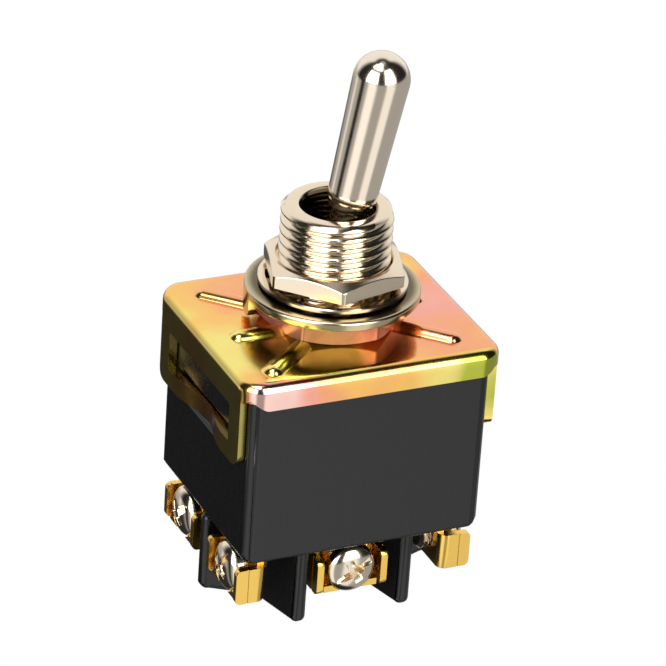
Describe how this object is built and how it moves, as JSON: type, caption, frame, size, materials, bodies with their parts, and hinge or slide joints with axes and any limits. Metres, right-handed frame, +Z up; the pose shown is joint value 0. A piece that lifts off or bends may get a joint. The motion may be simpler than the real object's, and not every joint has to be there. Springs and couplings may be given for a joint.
{
  "type": "panel toggle switch",
  "caption": "Double-pole bat-lever toggle switch for a panel hole, with a threaded bushing, a plated steel bracket, a black moulded housing and screw terminals.",
  "frame": {"origin": "on the bushing's axis, at the top face of the mounting bracket", "axes": "+Z up along the bushing, +X the way the lever leans at rest, -Y the front of the housing"},
  "size_m": [0.0296, 0.0254, 0.0631],
  "materials": {
    "black_moulding": "satin black phenolic moulding",
    "brown_moulding": "brown phenolic moulding",
    "insulation_board": "laminated insulation board",
    "bracket_zinc": "polished steel, zinc plated with an iridescent yellow passivation",
    "nut_zinc": "zinc plated with an iridescent yellow passivation",
    "washer_zinc": "zinc plated with an iridescent yellow passivation",
    "nickel": "bright nickel plating",
    "lever_nickel": "bright nickel plating over brass",
    "screw_nickel": "bright nickel plating",
    "brass": "bright stamped brass",
    "contact_silver": "silver contact buttons",
    "spring_steel": "drawn steel wire"
  },
  "bodies": {
    "housing": {"housing": "black_moulding", "mounting_bracket": "bracket_zinc", "insulator_plate": "insulation_board", "bushing": "nickel", "lower_hex_nut": "nut_zinc", "locating_washer": "washer_zinc", "tooth_lock_washer": "nickel", "upper_hex_nut": "nickel", "hinge_pin": "spring_steel", "pivot_post_front": "brass", "pivot_post_rear": "brass", "terminal_left_front": "brass", "terminal_screw_left_front": "screw_nickel", "terminal_middle_front": "brass", "terminal_screw_middle_front": "screw_nickel", "terminal_right_front": "brass", "terminal_screw_right_front": "screw_nickel", "fixed_contact_left_front": "contact_silver", "fixed_contact_right_front": "contact_silver", "terminal_left_rear": "brass", "terminal_screw_left_rear": "screw_nickel", "terminal_middle_rear": "brass", "terminal_screw_middle_rear": "screw_nickel", "terminal_right_rear": "brass", "terminal_screw_right_rear": "screw_nickel", "fixed_contact_left_rear": "contact_silver", "fixed_contact_right_rear": "contact_silver"},
    "lever": {"lever": "lever_nickel", "actuator": "brown_moulding", "spring_front": "spring_steel", "spring_rear": "spring_steel"},
    "plunger_front": {"plunger_front": "nickel"},
    "plunger_rear": {"plunger_rear": "nickel"},
    "rocker_front": {"rocker_front": "brass", "rocker_contacts_front": "contact_silver"},
    "rocker_rear": {"rocker_rear": "brass", "rocker_contacts_rear": "contact_silver"}
  },
  "joints": [
    {"name": "lever", "type": "hinge", "parent": "housing", "child": "lever", "pos_m": [0, 0, 0.0054], "axis": [0, 1, 0], "range_deg": [-21, 0]},
    {"name": "plunger_front", "type": "slide", "parent": "lever", "child": "plunger_front", "axis": [0.1822, 0, 0.9833], "range_m": [0, 0.0005], "stiffness_N_per_m": 400, "springref_m": -0.003},
    {"name": "rocker_front", "type": "hinge", "parent": "housing", "child": "rocker_front", "pos_m": [0, -0.006, -0.0156], "axis": [0, 1, 0], "range_deg": [0, 12]},
    {"name": "plunger_rear", "type": "slide", "parent": "lever", "child": "plunger_rear", "axis": [0.1822, 0, 0.9833], "range_m": [0, 0.0005], "stiffness_N_per_m": 400, "springref_m": -0.003},
    {"name": "rocker_rear", "type": "hinge", "parent": "housing", "child": "rocker_rear", "pos_m": [0, 0.006, -0.0156], "axis": [0, 1, 0], "range_deg": [0, 12]}
  ],
  "couplings": [
    {"joint": "rocker_front", "follows": "lever", "ratio": -0.57143},
    {"joint": "rocker_rear", "follows": "lever", "ratio": -0.57143}
  ]
}
